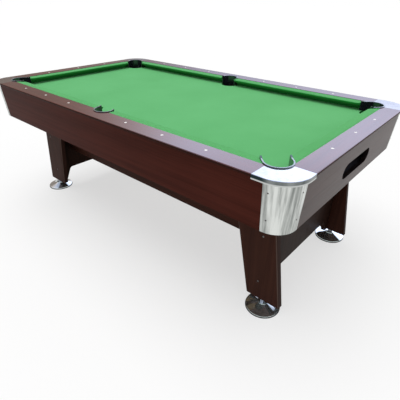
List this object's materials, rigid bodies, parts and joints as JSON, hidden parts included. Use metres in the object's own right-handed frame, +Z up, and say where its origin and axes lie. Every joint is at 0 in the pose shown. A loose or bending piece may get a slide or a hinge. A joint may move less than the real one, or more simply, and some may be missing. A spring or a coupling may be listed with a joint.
{
  "type": "pool table",
  "caption": "Pool table with a cloth bed between cushioned rails, lined pockets with an internal ball return to an end slot, raked legs and screw-adjustable feet.",
  "frame": {"origin": "on the floor under the middle of the table", "axes": "+Z up, +X along the table towards the end with the ball slot, -Y towards the front long side"},
  "size_m": [2.152, 1.214, 0.794],
  "materials": {
    "mahogany_laminate": "glossy dark red-brown laminate with fine grain",
    "dark_laminate": "satin very dark brown laminate",
    "fibreboard": "raw fibreboard",
    "green_cloth": "napped bright green cloth",
    "chrome": "polished chrome",
    "black_moulding": "glossy black moulding",
    "black_sheet": "matt black sheet",
    "black_rubber": "matt black rubber",
    "white_dot": "white plastic",
    "dark_screw": "dark plated steel",
    "zinc_steel": "zinc-plated steel"
  },
  "bodies": {
    "table": {"apron_back": "mahogany_laminate", "apron_front": "mahogany_laminate", "apron_head_end": "mahogany_laminate", "apron_return_end": "mahogany_laminate", "bed_board": "fibreboard", "bed_cloth": "green_cloth", "corner_cap_back_head": "chrome", "corner_cap_back_return": "chrome", "corner_cap_front_head": "chrome", "corner_cap_front_return": "chrome", "corner_casting_back_head": "chrome", "corner_casting_back_return": "chrome", "corner_casting_front_head": "chrome", "corner_casting_front_return": "chrome", "cross_beams": "fibreboard", "cushion_back_head": "green_cloth", "cushion_back_return": "green_cloth", "cushion_front_head": "green_cloth", "cushion_front_return": "green_cloth", "cushion_head_end": "green_cloth", "cushion_return_end": "green_cloth", "frame_bolts": "zinc_steel", "gutter_back": "black_sheet", "gutter_front": "black_sheet", "leg_board_back_head": "dark_laminate", "leg_board_back_return": "dark_laminate", "leg_board_front_head": "dark_laminate", "leg_board_front_return": "dark_laminate", "leg_panel_head_end": "dark_laminate", "leg_panel_return_end": "dark_laminate", "long_beam_back": "fibreboard", "long_beam_front": "fibreboard", "pocket_liner_back_head": "black_moulding", "pocket_liner_back_return": "black_moulding", "pocket_liner_back_side": "black_moulding", "pocket_liner_front_head": "black_moulding", "pocket_liner_front_return": "black_moulding", "pocket_liner_front_side": "black_moulding", "rail_back": "mahogany_laminate", "rail_front": "mahogany_laminate", "rail_head_end": "mahogany_laminate", "rail_return_end": "mahogany_laminate", "rail_sights": "white_dot", "return_tray": "black_sheet", "stretcher_back": "dark_laminate", "stretcher_front": "dark_laminate", "threaded_inserts": "zinc_steel", "wood_screws": "dark_screw"},
    "foot_front_head": {"foot_disc_front_head": "chrome", "foot_pad_front_head": "black_rubber"},
    "stud_front_head": {"foot_stud_front_head": "zinc_steel"},
    "foot_front_return": {"foot_disc_front_return": "chrome", "foot_pad_front_return": "black_rubber"},
    "stud_front_return": {"foot_stud_front_return": "zinc_steel"},
    "foot_back_head": {"foot_disc_back_head": "chrome", "foot_pad_back_head": "black_rubber"},
    "stud_back_head": {"foot_stud_back_head": "zinc_steel"},
    "foot_back_return": {"foot_disc_back_return": "chrome", "foot_pad_back_return": "black_rubber"},
    "stud_back_return": {"foot_stud_back_return": "zinc_steel"}
  },
  "joints": [
    {"name": "foot_front_head_travel", "type": "slide", "parent": "table", "child": "foot_front_head", "axis": [0, 0, 1], "range_m": [-0.03, 0]},
    {"name": "stud_front_head_turn", "type": "hinge", "parent": "foot_front_head", "child": "stud_front_head", "pos_m": [-0.904, -0.375, 0.038], "axis": [0, 0, 1], "range_deg": [-6180, 0]},
    {"name": "foot_front_return_travel", "type": "slide", "parent": "table", "child": "foot_front_return", "axis": [0, 0, 1], "range_m": [-0.03, 0]},
    {"name": "stud_front_return_turn", "type": "hinge", "parent": "foot_front_return", "child": "stud_front_return", "pos_m": [0.904, -0.375, 0.038], "axis": [0, 0, 1], "range_deg": [-6180, 0]},
    {"name": "foot_back_head_travel", "type": "slide", "parent": "table", "child": "foot_back_head", "axis": [0, 0, 1], "range_m": [-0.03, 0]},
    {"name": "stud_back_head_turn", "type": "hinge", "parent": "foot_back_head", "child": "stud_back_head", "pos_m": [-0.904, 0.375, 0.038], "axis": [0, 0, 1], "range_deg": [-6180, 0]},
    {"name": "foot_back_return_travel", "type": "slide", "parent": "table", "child": "foot_back_return", "axis": [0, 0, 1], "range_m": [-0.03, 0]},
    {"name": "stud_back_return_turn", "type": "hinge", "parent": "foot_back_return", "child": "stud_back_return", "pos_m": [0.904, 0.375, 0.038], "axis": [0, 0, 1], "range_deg": [-6180, 0]}
  ],
  "couplings": [
    {"joint": "stud_front_head_turn", "follows": "foot_front_head_travel", "rad_per_m": 3590.4},
    {"joint": "stud_front_return_turn", "follows": "foot_front_return_travel", "rad_per_m": 3590.4},
    {"joint": "stud_back_head_turn", "follows": "foot_back_head_travel", "rad_per_m": 3590.4},
    {"joint": "stud_back_return_turn", "follows": "foot_back_return_travel", "rad_per_m": 3590.4}
  ]
}
